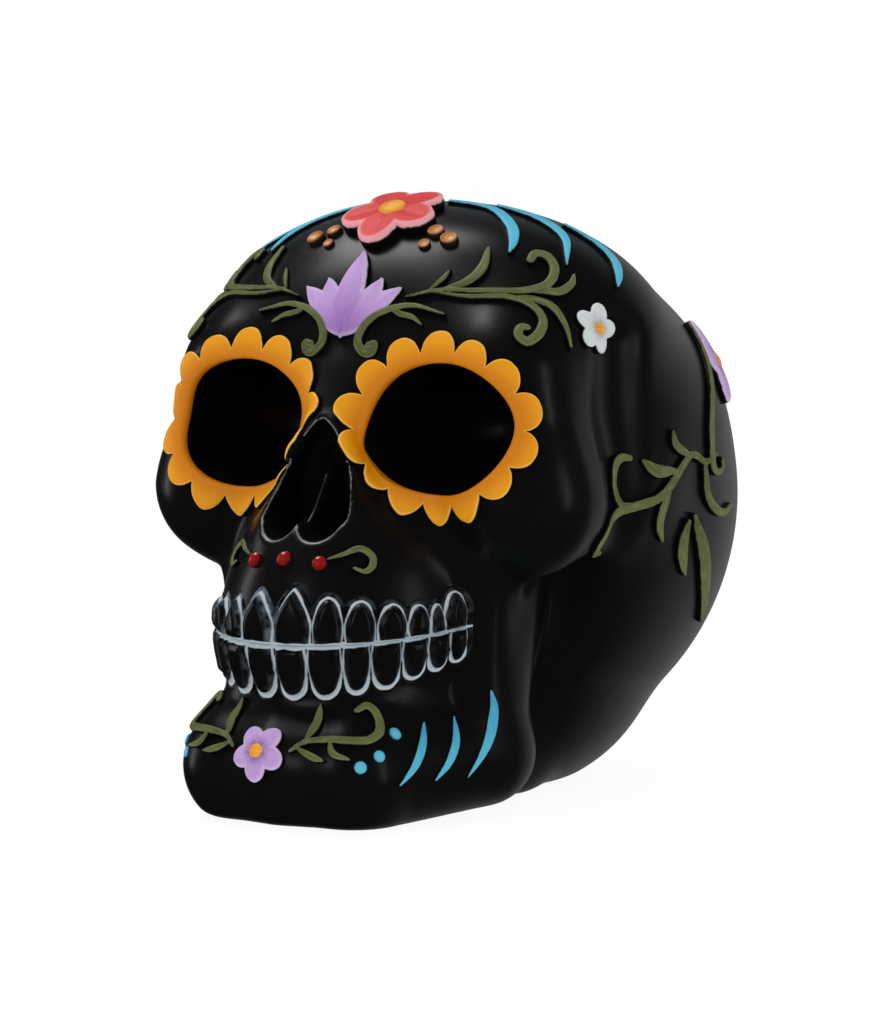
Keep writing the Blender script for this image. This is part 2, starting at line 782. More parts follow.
def gather(strokes):
    """One drawing from many strokes: the highest shows, or of cupped petals the widest."""
    cupped = strokes[0].ridge < 0

    def draw(u, v):
        parts = [s.draw(u, v) for s in strokes]
        edges = np.stack([p[0] for p in parts])
        highs = np.stack([np.where(p[0] > -0.05, p[1], p[1] * 0) for p in parts])
        first = edges.argmax(0)
        if not cupped:
            first = np.where(edges.max(0) > 0, np.where(edges > 0, highs, -1).argmax(0), first)

        def pick(k):
            return np.take_along_axis(np.stack([p[k] for p in parts]), first[None], 0)[0]
        high = pick(1) if cupped else highs.max(0)
        return edges.max(0), high, pick(2), pick(3), pick(4), pick(0), first
    boxes = np.array([s.box() for s in strokes])
    return draw, (*boxes[:, :2].min(0), *boxes[:, 2:].max(0))


print("strokes have", STROKE_POINTS, "points and edges rounded over", ROUNDED, "mm")

# %% [markdown]
# ## Relief mesh
# The drawing is cut out of a fine square mesh. Points on the cut are moved onto the outline, walls go
# down into the skull, and a floor closes the body, so that each ornament is a solid that stands in the
# casting.

# %% Relief
SUNK = 0.5
NUDGE = 0.04
BOTH = ("left_", "right_")


def to_rim(draw, p, cell):
    """Moves points of the cut towards the outline."""
    u, v = p.T
    slope_u = draw(u + NUDGE, v)[0] - draw(u - NUDGE, v)[0]
    slope_v = draw(u, v + NUDGE)[0] - draw(u, v - NUDGE)[0]
    slope = np.stack([slope_u, slope_v], -1) / (2 * NUDGE)
    move = draw(u, v)[0][:, None] * slope / np.maximum((slope ** 2).sum(-1, keepdims=True), 0.2)
    return p - np.clip(move, -0.5 * cell, 0.5 * cell)


def thick_sheet(top, above, below):
    """A sheet of quads, its floor and the walls between them."""
    n = len(above)
    starts, ends = top.ravel(), np.roll(top, -1, axis=1).ravel()
    lone = ~np.isin(starts * n + ends, ends * n + starts)
    a, b = starts[lone], ends[lone]
    walls = np.stack([a, a + n, b + n, b], -1)
    return np.concatenate([above, below]), np.concatenate([top, top[:, ::-1] + n, walls])


def relief(seat, strokes, cell):
    draw, (left, low, right, high) = gather(strokes)
    gu, gv = np.meshgrid(np.arange(left, right, cell), np.arange(low, high, cell), indexing="ij")
    edge = draw(gu, gv)[0]
    full = (edge[:-1, :-1] + edge[1:, :-1] + edge[:-1, 1:] + edge[1:, 1:]) > 0
    for _ in range(4):
        a, b, c, d = full[:-1, :-1], full[1:, :-1], full[:-1, 1:], full[1:, 1:]
        full[1:, :-1] |= a & d & ~b & ~c
        full[:-1, :-1] |= b & c & ~a & ~d
    count = np.zeros(edge.shape, int)
    for i, j in np.ndindex(2, 2):
        count[i:edge.shape[0] - 1 + i, j:edge.shape[1] - 1 + j] += full
    used = count > 0
    number = np.full(edge.shape, -1)
    number[used] = np.arange(used.sum())
    p = np.stack([gu[used], gv[used]], -1)
    rim = (count < 4)[used]
    for _ in range(3):
        p[rim] = to_rim(draw, p[rim], cell)
    edge, height, tone, along, side, own_edge, which = draw(*p.T)
    skin_point, out = Sheet(seat, left, right, low, high).lay(*p.T)
    cells = np.argwhere(full)
    top = np.stack([number[tuple((cells + s).T)] for s in ((0, 0), (1, 0), (1, 1), (0, 1))], -1)
    points, faces = thick_sheet(top, skin_point + out * height[:, None], skin_point - out * SUNK)
    grain = np.stack([along, side, which * 3.7], -1)
    attributes = {
        "edge": np.concatenate([np.minimum(edge, own_edge + 0.25), np.full(len(p), -1.0)]),
        "tone": np.concatenate([tone, tone]),
        "grain": np.concatenate([grain, grain]),
    }
    return points, faces, attributes


def ornament(name, seat, strokes, finish, node, cell=0.3, sides=("",)):
    """A relief that stands for one solid, or for one on each side."""
    points, faces, attributes = relief(seat, strokes, cell)
    for side in sides:
        if side == "right_":
            points, faces = mirrored(points, faces)
        piece(side + name, points, faces, finish, [side + node], **attributes)


print("reliefs stand", SUNK, "mm deep in the skin")

# %% [markdown]
# ## Paints
# The ornaments are hand painted: the tops carry colour, the walls stay black. Each paint has a deep tone
# near the stroke's root, a body, and a pale tone that sits on edges and in brush streaks along the
# stroke.


# %% Paint
def paint(name, deep, body, pale, streak, edging, bare=0.1, reach=0.5, slot=None):
    """Streak and edging are shares of the pale tone, bare is the black rim and reach the edging's width."""
    finish = Finish(name, slot)
    deep, body, pale = shade(*deep), shade(*body), shade(*pale)
    edge = finish.read("edge")
    tone = finish.read("tone")
    strands = finish.noise(finish.stretched(finish.read("grain", "Vector"), (0.3, 2.2, 1.0)), 1.0, 3.0)
    cloud = finish.noise(finish.place(), 420.0)
    colour = finish.mix(tone.step(0.0, 0.75), deep, body)
    colour = finish.mix(strands.step(0.48, 0.72) * streak, colour, pale)
    colour = finish.mix((1.0 - edge.step(bare + 0.1, bare + 0.1 + reach)) * edging, colour, pale)
    cover = (edge + (cloud - 0.5) * 0.24).step(bare - 0.06, bare + 0.1)
    finish.set(base_color=finish.mix(cover, BLACK, colour))
    finish.set(roughness=0.36 + cloud * 0.12, specular_ior_level=0.2)
    finish.bump(strands, 0.25, 0.0002)
    return finish


olive = paint("olive_paint", (76, 83, 42), (92, 99, 56), (126, 133, 90), 0.55, 0.25, 0.12)
lavender = paint("lavender_paint", (142, 98, 172), (184, 150, 206), (218, 200, 228), 0.12, 0.55, reach=0.9)
violet = paint("violet_paint", (104, 60, 142), (184, 150, 206), (218, 198, 228), 0.2, 0.6, reach=0.9,
               slot="lavender_paint")
coral = paint("coral_paint", (198, 34, 38), (208, 58, 60), (236, 172, 178), 0.12, 0.95, reach=1.5)
turquoise = paint("turquoise_paint", (56, 152, 186), (78, 176, 204), (120, 198, 216), 0.3, 0.1)
white = paint("white_paint", (140, 146, 152), (200, 206, 207), (228, 232, 232), 0.4, 0.5)
ochre = paint("ochre_paint", (214, 128, 26), (232, 160, 48), (240, 190, 100), 0.4, 0.3)
print("paint nodes", len(olive.tree.nodes))

# %% [markdown]
# ## Forehead
# Over the nose stands a lotus of five petals, with a tendril on each side of its foot. Beside it a leafy
# scroll runs out to each temple. The middle petal is the highest, as on a flower seen from the front. The
# numbers after a path are the widths at root, belly and tip, the relief and the ridge.

# %% Lotus and tendrils
lotus_petals = [
    Stroke([(0, 0.4), (5.9, 6.6), (13.3, 13.2)], 0.8, 6.4, 0.4, 1.1, 0.5),
    Stroke([(0, 0.4), (-5.9, 6.6), (-13.9, 13.2)], 0.8, 6.4, 0.4, 1.1, 0.5),
    Stroke([(0, 0.4), (4.7, 8.2), (7.6, 15.2)], 1.4, 6.2, 0.4, 1.4, 0.5),
    Stroke([(0, 0.4), (-4.7, 8.2), (-7.5, 15.2)], 1.4, 6.2, 0.4, 1.4, 0.5),
    Stroke([(0, 0), (-0.2, 10.4), (0, 22.6)], 1.2, 7.8, 0.4, 1.8, 0.6),
]
ornament("lotus_relief", lotus_seat, lotus_petals, lavender, "forehead_lotus")
tendril = [
    Stroke([(8.3, -2), (9.7, -1.8), (9.2, -3.3), (7, -3.5), (5.1, -1.5), (5.4, 1.6), (7.7, 4.9), (12.3, 7.4),
            (17.5, 8.5), (22.2, 7.7), (26.4, 6.7)], 2.4, 2.4, 0.6, 1.5),
    Stroke([(13, 7), (15, 6.2), (18.3, 5.5), (21.4, 3.6)], 1.2, 1.7, 0.5, 1.2),
]
ornament("tendril_relief", lotus_seat, tendril, olive, "lotus_scroll", 0.25, BOTH)

# %% Brow scrolls
brow = [
    Stroke([(-16.1, -1.3), (-8, 0), (0.7, -0.4), (9, 0), (13.6, 1.6), (17.2, 5), (18, 9.8), (15.9, 13.4),
            (12.8, 13.6), (12, 11.3)], 0.6, 2.4, 2.2, 1.6),
    Stroke([(-7.4, 0.1), (-1.7, 2.5), (1.2, 7), (1.6, 13.2)], 0.8, 2.8, 1.2, 1.4),
    Stroke([(-10.4, 0.3), (-7.8, 3.4), (-6.3, 6.2)], 0.6, 1.5, 0.5, 1.2),
    Stroke([(-9.4, -0.4), (-0.3, -2.1), (9.4, -2), (15.1, -3.5), (18, -6.8), (17.8, -11.3), (15.5, -14.6),
            (13.3, -13.2), (13.5, -11), (15, -10.6)], 0.6, 2.5, 1.8, 1.5),
    Stroke([(11, 0.3), (15.3, 2), (20, 3.6), (22.5, 7.1), (22.7, 10)], 0.8, 2.4, 0.9, 1.4),
    Stroke([(10.5, -1.8), (14, -1.2), (19, -1.4), (23.1, -4.6), (26.7, -10.2)], 0.8, 2.4, 0.5, 1.4),
]
ornament("brow_relief", brow_seat, brow, olive, "brow_scroll", sides=BOTH)

# %% [markdown]
# ## Crown strokes
# Three turquoise brush strokes a side sweep over the crown and taper at both ends. Each is a piece of its
# own, as in the solids. They share one seat on top of the head, so that their curves stay side by side.

# %% Crown strokes
crown_paths = [
    [(7.5, 9), (19.8, 7.8), (29.5, 0.4), (33.6, -5.8), (34.9, -10.7)],
    [(19.5, 11.6), (28, 11.2), (36.1, 8.9), (42.8, 4.1), (48.2, -5.6)],
    [(37, 14), (47.1, 13), (53.9, 10.3), (58, 5.5), (60.4, 0.6)],
]
for number, path in enumerate(crown_paths, 1):
    key = "crown_stroke_%d" % number
    ornament(key + "_relief", crown_seat, [Stroke(path, 0.8, 3.2, 0.6, 1.2)], turquoise, key, sides=BOTH)

# %% [markdown]
# ## Flowers
# Every flower has five petals that swell towards their ends, and a small domed centre of its own. The
# blossom on the crown is the thickest, and its petals are cupped, so their ridge is negative.

# %% Flowers
PETAL_START = 0.12
PETAL_TIP = 0.75


def five_petals(radius, turn, belly, height, ridge):
    ring = [math.radians(turn + 72 * k) for k in range(5)]
    start, end = radius * PETAL_START, radius - belly * PETAL_TIP / 2
    return [Petal(angle, start, end, belly, height, ridge, PETAL_TIP) for angle in ring]


def dome(radius, height, rise):
    """A centre: one short wide stroke, rounded like a drop."""
    path = [(-radius * 0.2, 0), (0, 0), (radius * 0.2, 0)]
    return [Stroke(path, radius * 1.7, radius * 2, radius * 1.7, height, rise)]


FLOWERS = [
    # name, solid, sides, seat and paint, then petals and centre, each with the cell of its mesh
    ("blossom", "crown_blossom", ("",), blossom_seat, coral,
     (13, -90, 10.2, 3.6, -0.7), 0.4, (3.4, 3.7, 0.6), 0.3),
    ("daisy", "temple_daisy", BOTH, daisy_seat, white,
     (6.2, 0, 4.6, 1.5, 0.3), 0.25, (1.6, 2.0, 0.4), 0.2),
    ("side_flower", "side_flower", BOTH, side_flower_seat, violet,
     (12, 20, 9, 1.8, 0.4), 0.35, (2.6, 2.2, 0.5), 0.3),
    ("chin_flower", "chin_flower", ("",), chin_seat, violet,
     (7, -90, 5.4, 1.6, 0.3), 0.25, (1.8, 2.1, 0.4), 0.2),
]
for name, node, sides, seat, finish, petals, petal_cell, centre, centre_cell in FLOWERS:
    ornament(name + "_relief", seat, five_petals(*petals), finish, node, petal_cell, sides)
    ornament(name + "_centre_relief", seat, dome(*centre), ochre, node + "_centre", centre_cell, sides)

# %% [markdown]
# ## Side vine
# A vine climbs each side of the head to a flower, and two long leaves hang from it. Its stem, side shoots
# and small leaves are strokes of one drawing, so that they run into each other as clay does.

# %% Side vine
side_stem = [
    Stroke([(38.9, 35.1), (36.6, 28.8), (33.8, 23.6), (29.5, 17.2), (24.8, 8.6), (24.7, -0.1), (27.4, -3.7),
            (31.6, -3.5), (31.4, -0.8)], 1.2, 2.6, 0.9, 1.6),
    Stroke([(27, 0.6), (21.3, -1.1), (14.2, 1), (8.7, -2), (1, -8.2), (-7.3, -10.3), (-13.5, -11.2),
            (-20.5, -13.6), (-24.4, -16.8), (-23.6, -19.6), (-20, -20)], 1.4, 2.6, 1.5, 1.6),
    Stroke([(-8.4, -9.8), (-12.5, -9.5), (-16.2, -5), (-14.4, -0.7), (-11.5, 1.4), (-8.6, 1.2)],
           1, 2.6, 1.7, 1.5),
    Stroke([(5.9, 7.1), (7.5, 3.2), (14.3, 0.4)], 0.6, 2.6, 1, 1.4),
    Stroke([(-5.3, 0.4), (-0.8, -2.4), (6.4, -2.6)], 0.8, 3.4, 1, 1.4),
    Stroke([(4.2, -4.6), (2.6, -9), (1.7, -14.5), (4.4, -19.9)], 0.9, 3, 0.8, 1.5),
    Stroke([(20.8, -1), (21.7, -4), (24.1, -9.5), (30, -13.4), (36, -14.6), (41, -13)], 1.2, 2.8, 1, 1.5),
]
ornament("side_vine_relief", side_seat, side_stem, olive, "side_vine", sides=BOTH)
long_leaf = Stroke([(17.6, -14), (24.5, -22.7), (30.6, -33.3), (36.3, -44)], 0.8, 5.2, 0.5, 1.5, 0.5)
short_leaf = Stroke([(15.1, -15.2), (14.6, -22.2), (17.2, -29.5)], 0.8, 4.4, 0.5, 1.4, 0.4)
ornament("long_leaf_relief", side_seat, [long_leaf], olive, "side_leaf_long", sides=BOTH)
ornament("short_leaf_relief", side_seat, [short_leaf], olive, "side_leaf_short", sides=BOTH)

# %% [markdown]
# ## Lip, chin and jaw
# Small curls stand over the teeth, and on the chin a vine runs out from each side of a flower. Three thin
# turquoise strokes follow it on each side of the jaw.

# %% Lip curls, chin vines and jaw strokes
lip_path = [(10.8, 1.2), (14, 3.2), (17.3, 5.6), (20.4, 4.8), (21.2, 2.6), (20, 0.6), (17.3, 0.6)]
ornament("lip_curl_relief", lip_seat, [Stroke(lip_path, 0.6, 2, 0.9, 1.2)], olive, "lip_curl", 0.25, BOTH)
chin_vine = [
    Stroke([(8, 1.1), (11.2, 3.6), (16.6, 4.8), (22, 5.6), (25.8, 7.4), (26.9, 11.2), (24.8, 15.2),
            (21.8, 16.6), (20.2, 14.4)], 1, 2.4, 1.8, 1.4),
    Stroke([(11.1, 3.9), (12.1, 8.7), (11.2, 14.6)], 0.9, 2.6, 0.5, 1.2),
    Stroke([(9.4, 2), (13.9, 0.4), (17.1, -0.2)], 0.8, 1.9, 0.6, 1.2),
    Stroke([(17.4, 4.2), (19, 1.7), (22.9, 1)], 0.8, 1.9, 0.6, 1.2),
]
ornament("chin_vine_relief", chin_seat, chin_vine, olive, "chin_vine", 0.25, BOTH)
jaw_paths = [
    ([(2.8, 6.7), (0.5, 1.6), (-2.9, -3.5), (-7.8, -7.8)], 2.4),
    ([(11.6, 7.5), (10.1, 1.9), (7.1, -3.2), (2.8, -7.4)], 2.4),
    ([(22.4, 12.1), (21.9, 6.8), (18.6, 0.1), (12.4, -7.4)], 2.8),
]
for number, (path, belly) in enumerate(jaw_paths, 1):
    key = "jaw_stroke_%d" % number
    ornament(key + "_relief", jaw_seat, [Stroke(path, 0.6, belly, 0.5, 0.7)], turquoise, key, 0.25, BOTH)

# %% [markdown]
# ## Petal rings
# A marigold ring frames each socket: a smooth lip that rolls into the socket, and fourteen scalloped
# petals outside it. The lip follows the socket's rim, which is where the skin and the socket's ellipsoid
# meet. The rim is found first, by going forwards along the socket's wall until it comes out of the skin.

# %% Socket rim
PETALS = 14
PETAL_COLUMNS = 26
RING_WIDTH = 6.8
NOTCH = 2
RIM_SPREAD = 8
socket_middle = np.array([EYE_SPREAD, -SOCKET_FRONTSET, EYE_LIFT])


def socket_wall(angle, y):
    share = np.sqrt(1 - ((y + SOCKET_FRONTSET) / (SOCKET_SIZE[1] / 2)) ** 2) / 2
    x = EYE_SPREAD + SOCKET_SIZE[0] * share * np.cos(angle)
    return np.stack([x, y, EYE_LIFT + SOCKET_SIZE[2] * share * np.sin(angle)], -1)


def socket_rim(angle):
    tries = np.arange(-36.0, -70.0, -0.5)
    wall = socket_wall(angle[:, None], np.broadcast_to(tries, (len(angle), len(tries))))
    first = np.argmax(skin(wall) > 0, axis=1)
    low, high = tries[first - 1], tries[first]
    for _ in range(12):
        middle = (low + high) / 2
        out = skin(socket_wall(angle, middle)) > 0
        low, high = np.where(out, low, middle), np.where(out, middle, high)
    return socket_wall(angle, high)


def smoothed(loop, spread):
    """A closed line of points with its small kinks taken out."""
    reach = np.arange(-3 * spread, 3 * spread + 1)
    weight = np.exp(-((reach / spread) ** 2) / 2)
    return sum(w * np.roll(loop, k, axis=0) for w, k in zip(weight / weight.sum(), reach))


rough_angle = np.linspace(0, 2 * math.pi, 241)
rough_rim = socket_rim(rough_angle)
rim_length = np.concatenate([[0], np.linalg.norm(np.diff(rough_rim, axis=0), axis=1).cumsum()])
columns = PETALS * PETAL_COLUMNS
petal_share = np.arange(columns) / PETAL_COLUMNS
rim_angle = np.interp(petal_share / PETALS * rim_length[-1], rim_length, rough_angle)
rim = smoothed(socket_rim(rim_angle), RIM_SPREAD)
PETAL_PITCH = (rim_length[-1] + 2 * math.pi * NOTCH) / PETALS
print("socket rim", round(rim_length[-1], 1), "mm round, petal pitch", round(PETAL_PITCH, 1), "mm")

# %% [markdown]
# ## Petal outlines
# From the rim a walk goes outwards over the skin, one line for each column of the grid. The ring's
# outline is a width along those lines: a notch between petals and an arch over each. Lower petals are
# more pointed, and petals near the nose and the temple are shorter, as the photograph shows.

# %% Petal outlines
WALK_STEP = 0.4
WALK_STEPS = 21
rim_out = outward(rim)
rim_way = np.cross(np.roll(rim, -1, 0) - np.roll(rim, 1, 0), rim_out)
rim_way = unit(rim_way * np.sign(((rim - socket_middle) * rim_way).sum(-1, keepdims=True)))
walked = [rim]
ahead = rim_way
for _ in range(WALK_STEPS):
    walked.append(settle(walked[-1] + ahead * WALK_STEP, 1))
    ahead = along_skin(ahead, outward(walked[-1]))
walked = np.stack(walked)


def over_skin(w):
    """Skin points and ways out at a distance w from the rim, one for each column."""
    share = np.clip(w / WALK_STEP, 0, len(walked) - 1.001)
    i = share.astype(int)
    t = (share - i)[:, None]
    c = np.arange(columns)
    p = settle(walked[i, c] * (1 - t) + walked[i + 1, c] * t, 1)
    return p, outward(p)


def round_about(angle, spread):
    """1 at an angle of the rim, and less away from it."""
    return np.exp(-((rim_angle - angle) / spread) ** 2)


across = petal_share % 1 - 0.5
petal_number = petal_share.astype(int)
pointed = np.clip(-1.6 * np.sin(rim_angle) - 0.5, 0, 1)
by_nose = round_about(1.18 * math.pi, 0.45)
by_temple = np.clip(np.cos(rim_angle), 0, 1) ** 2
petal_long = RING_WIDTH - NOTCH + 0.3 * np.sin(petal_number * 2.4) + 0.2 * np.sin(petal_number * 5.1)
petal_arch = (1 - np.abs(2 * across) ** (2.3 - 0.7 * pointed)) ** (0.76 + 0.1 * pointed)
outline = (NOTCH + petal_long * petal_arch) * (1 - 0.18 * by_nose - 0.2 * by_temple)
outline_slope = np.gradient(outline) / (PETAL_PITCH / PETAL_COLUMNS)
print("petals reach", outline.min().round(1), "to", outline.max().round(1), "mm from the rim")

# %% [markdown]
# ## Ring surface
# The ring is a grid that is closed both ways. Its rows start inside the socket's wall, roll over the lip,
# go out over the skin to the petals' ends and come back under them. Petals are slightly cupped, with a
# groove along each seam.

# %% Ring surface
RING_ROWS = 18
RING_SUNK = 1.2
RING_RELIEF = 1.2
LIP = 0.45
wall_way = unit((rim - socket_middle) / (np.array(SOCKET_SIZE) / 2) ** 2)
into = unit(np.array([0, 1.0, 0]) - wall_way * wall_way[:, 1:2])
low_inside = round_about(1.2 * math.pi, 0.4)
fill = wall_way * (1.2 * np.abs(np.cos(rim_angle)) ** 3 - 1.1 * low_inside)[:, None]
rows = [
    (rim + into * 2.6 + wall_way * 0.5, -1.0, 0.0),
    (rim + into * 2.3 - wall_way * 0.25 - fill * 0.5, 0.1, 0.0),
    (rim + into * 1.4 - wall_way * 0.55 - fill, 0.6, 0.02),
    (rim + into * 0.5 - wall_way * 0.6 - fill + rim_out * 0.15, 1.0, 0.05),
    (rim - wall_way * 0.4 - fill * 0.7 + rim_out * 0.75, 1.2, 0.1),
]
from_seam = (0.5 - np.abs(across)) * PETAL_PITCH
for row in range(RING_ROWS + 1):
    w = LIP + (outline - LIP) * (row / RING_ROWS)
    p, out = over_skin(w)
    edge = (outline - w) / np.sqrt(1 + outline_slope ** 2)
    groove = np.exp(-(from_seam / 0.55) ** 2) * np.clip((w - 2.0) / 1.6, 0, 1)
    cup = 0.35 * np.clip((w - 1.5) / 4, 0, 1) * np.clip(from_seam / 2.6, 0, 1) ** 0.7
    high = (RING_RELIEF + cup - 0.3 * groove) * (shoulder(edge, ROUNDED) * 0.8 + 0.2)
    rows.append((p + out * high[:, None], edge, w / RING_WIDTH))
p, out = over_skin(outline)
rows.append((p - out * RING_SUNK, -1.0, 1.0))
ring_points = np.concatenate([r[0] for r in rows])
ring_edge, ring_tone = (np.concatenate([np.broadcast_to(r[k], columns) for r in rows]) for k in (1, 2))
ring_across, ring_number = (np.tile(v, len(rows)) for v in (across * PETAL_PITCH, petal_number * 3.7))
ring_grain = np.stack([ring_tone * RING_WIDTH, ring_across, ring_number], -1)


def closed_grid(row_count, column_count):
    """Quads of a grid that is closed both ways."""
    i, j = np.meshgrid(np.arange(row_count), np.arange(column_count), indexing="ij")
    i2, j2 = (i + 1) % row_count, (j + 1) % column_count
    corners = ((i, j), (i, j2), (i2, j2), (i2, j))
    return np.stack([a * column_count + b for a, b in corners], -1).reshape(-1, 4)


def outward_faces(points, faces):
    """The same faces, turned so that the body has a positive volume."""
    a, b, c, d = (np.asarray(points)[faces[:, k]] for k in range(4))
    volume = (a * np.cross(b, c)).sum() + (a * np.cross(c, d)).sum()
    return faces if volume > 0 else faces[:, ::-1]


ring = ring_points, outward_faces(ring_points, closed_grid(len(rows), columns))
ring_attributes = {"edge": ring_edge, "tone": ring_tone, "grain": ring_grain}
marigold = paint("marigold_paint", (206, 120, 0), (226, 150, 8), (242, 200, 90), 0.06, 0.6, 0.06, 0.4)
piece("left_ring_relief", *ring, marigold, ["left_eye_petals"], **ring_attributes)
piece("right_ring_relief", *mirrored(*ring), marigold, ["right_eye_petals"], **ring_attributes)

# %% [markdown]
# ## Muzzle net
# Each row of teeth is one curved strip of the casting. The strip is a grid of arc length along the bite
# and height, so the muzzle is first read into a net of bearings and heights.

# %% Muzzle net
BITE_LIFT = 43
BITE_CLIMB = 3.4
BITE_GAP = 0.7
LAST_BEARING = 88
bearings = np.radians(np.arange(-LAST_BEARING, LAST_BEARING + 1, 1.0))
lifts = np.arange(24, 68, 1.0)
bearing_net, lift_net = np.meshgrid(bearings, lifts, indexing="ij")
muzzle_way = np.stack([np.sin(bearing_net), -np.cos(bearing_net), np.zeros(bearing_net.shape)], -1)
muzzle_start = np.stack([np.zeros(lift_net.shape), np.full(lift_net.shape, MUZZLE_MIDDLE[1]), lift_net], -1)
muzzle_net = meet(muzzle_start + muzzle_way * 85, -muzzle_way, 60)
bite_curve = muzzle_net[:, int(np.argmin(abs(lifts - BITE_LIFT)))]
bite_arc = np.concatenate([[0], np.linalg.norm(np.diff(bite_curve, axis=0), axis=1).cumsum()])
bite_arc -= bite_arc[len(bearings) // 2]
print("bite arc", bite_arc[[0, -1]].round(1))


def on_muzzle(s, z):
    bearing = np.degrees(np.interp(s, bite_arc, bearings)) + LAST_BEARING
    return read_net(muzzle_net, np.stack([bearing, z - lifts[0]], -1))


# %% [markdown]
# ## Tooth outlines
# A row is read as seven teeth a side, mostly narrower and shorter towards the back. A tooth's outline is
# a width that closes to an arch at the gum, and the distance to that outline drives both the pillow of
# the tooth and the white brush line round it.

# %% Tooth outlines
UPPER_WIDTHS = [9.6, 7.4, 7.6, 7.6, 6, 4, 6.8]
LOWER_WIDTHS = [8.2, 8.4, 6.6, 7.6, 6.7, 6.2, 5.3]
UPPER_TALL = [12.6, 10.6, 9.4, 8, 7, 6.4, 8.4]
LOWER_TALL = [11.9, 11.8, 11, 10.4, 9, 8.1, 7.2]
HALF_ROW = sum(UPPER_WIDTHS)
POINTED_ARCH = (0.36, 1.5)
UPPER_ARCH = (0.35, 2.2)
LOWER_ARCH = (0.4, 2.5)


def tooth_outline(middle, wide, tall, closes, power):
    """Up one side of a tooth, over its arch at the gum and down the other side."""
    e = np.concatenate([[-0.3], np.linspace(0, 0.9, 10), [0.94, 0.97, 0.99, 1]])
    climb = np.clip((e - closes) / (1 - closes), 0, 1)
    arch = np.maximum(1 - climb ** power, 0) ** (1 / max(power - 0.3, 1))
    half = wide / 2 * (0.9 + 0.07 * np.sin(math.pi * np.clip(e / 0.7, 0, 1))) * arch
    left, right = np.stack([middle - half, e * tall], -1), np.stack([middle + half, e * tall], -1)
    return np.concatenate([left, right[-2::-1]])


def to_outline(u, v, line):
    """Distance to a closed outline: positive inside it."""
    far = np.full(u.shape, 1e9)
    inside = np.zeros(u.shape, bool)
    for (ax, ay), (bx, by) in zip(line, np.roll(line, -1, axis=0)):
        wx, wy = bx - ax, by - ay
        t = np.clip(((u - ax) * wx + (v - ay) * wy) / max(wx * wx + wy * wy, 1e-12), 0, 1)
        far = np.minimum(far, (u - ax - t * wx) ** 2 + (v - ay - t * wy) ** 2)
        inside ^= ((ay > v) != (by > v)) & ((u - ax) * abs(wy) < (v - ay) * wx * np.sign(wy))
    return np.where(inside, 1, -1) * np.sqrt(far)


def row_teeth(upper):
    """Middle, width and height of each tooth on one side."""
    wide = np.array(UPPER_WIDTHS if upper else LOWER_WIDTHS)
    return list(zip(np.cumsum(wide) - wide / 2, wide, UPPER_TALL if upper else LOWER_TALL))


def row_outlines(upper):
    outlines = []
    for side in (-1, 1):
        for k, (at, wide, tall) in enumerate(row_teeth(upper)):
            tall *= 0.91 if upper and side < 0 else 1
            arch = UPPER_ARCH if upper else LOWER_ARCH
            if upper and (k == 0 or side < 0):
                arch = POINTED_ARCH
            outlines.append(tooth_outline(side * at, wide, tall, *arch))
    return outlines


print("half a row is", round(HALF_ROW, 1), "mm long and has", len(row_teeth(True)), "teeth")

# %% [markdown]
# ## Tooth rows
# The white lines are brushed over black lacquer, so they waver, break and thin out towards the back, and
# a blue-grey wash lies beside them on one side of the mouth. Noise on Object coordinates gives all of
# that.

# %% Tooth rows
TOOTH_CELL = 0.3
TOOTH_THICKNESS = 2.1
TOOTH_SUNK = 2.5
ROW_END = 1.4
ROW_TALL = 15.6


def tooth_row(name, node, upper, finish):
    s_line = np.arange(-HALF_ROW - ROW_END, HALF_ROW + ROW_END + TOOTH_CELL, TOOTH_CELL)
    rise_line = np.arange(-BITE_GAP / 2 - 0.1, ROW_TALL, TOOTH_CELL)
    s, rise = np.meshgrid(s_line, rise_line, indexing="ij")
    edge = np.max([to_outline(s, rise, line) for line in row_outlines(upper)], axis=0)
    inner = np.minimum(edge, rise + 0.4)
    pillow = (1 - (1 - np.clip(inner / 2.4, 0, 1)) ** 2) ** 0.75
    high = 0.2 + TOOTH_THICKNESS * pillow - 0.55 * np.maximum(-edge - 1.1, 0)
    bite = BITE_LIFT + BITE_CLIMB * (s / HALF_ROW) ** 2
    p, out = on_muzzle(s, bite + (BITE_GAP / 2 + rise) * (1 if upper else -1))
    number = np.arange(s.size).reshape(s.shape)
    corners = (number[:-1, :-1], number[1:, :-1], number[1:, 1:], number[:-1, 1:])
    top = np.stack(corners, -1).reshape(-1, 4)
    above, below = p + out * high[..., None], p - out * TOOTH_SUNK
    points, faces = thick_sheet(top, above.reshape(-1, 3), below.reshape(-1, 3))
    middles, _, talls = zip(*row_teeth(upper))
    tall = np.interp(np.abs(s), middles, talls)
    drawn = {
        "edge": edge,
        "foot": np.clip((rise / tall - 0.55) / 0.35, 0, 1),
        "back": np.abs(s) / HALF_ROW,
        "rise": rise,
        "blue": np.clip((8 - s) / 10, 0.2, 1),
    }
    attributes = {key: np.tile(v.ravel(), 2) for key, v in drawn.items()}
    return piece(name, points, outward_faces(points, faces), finish, [node], **attributes)


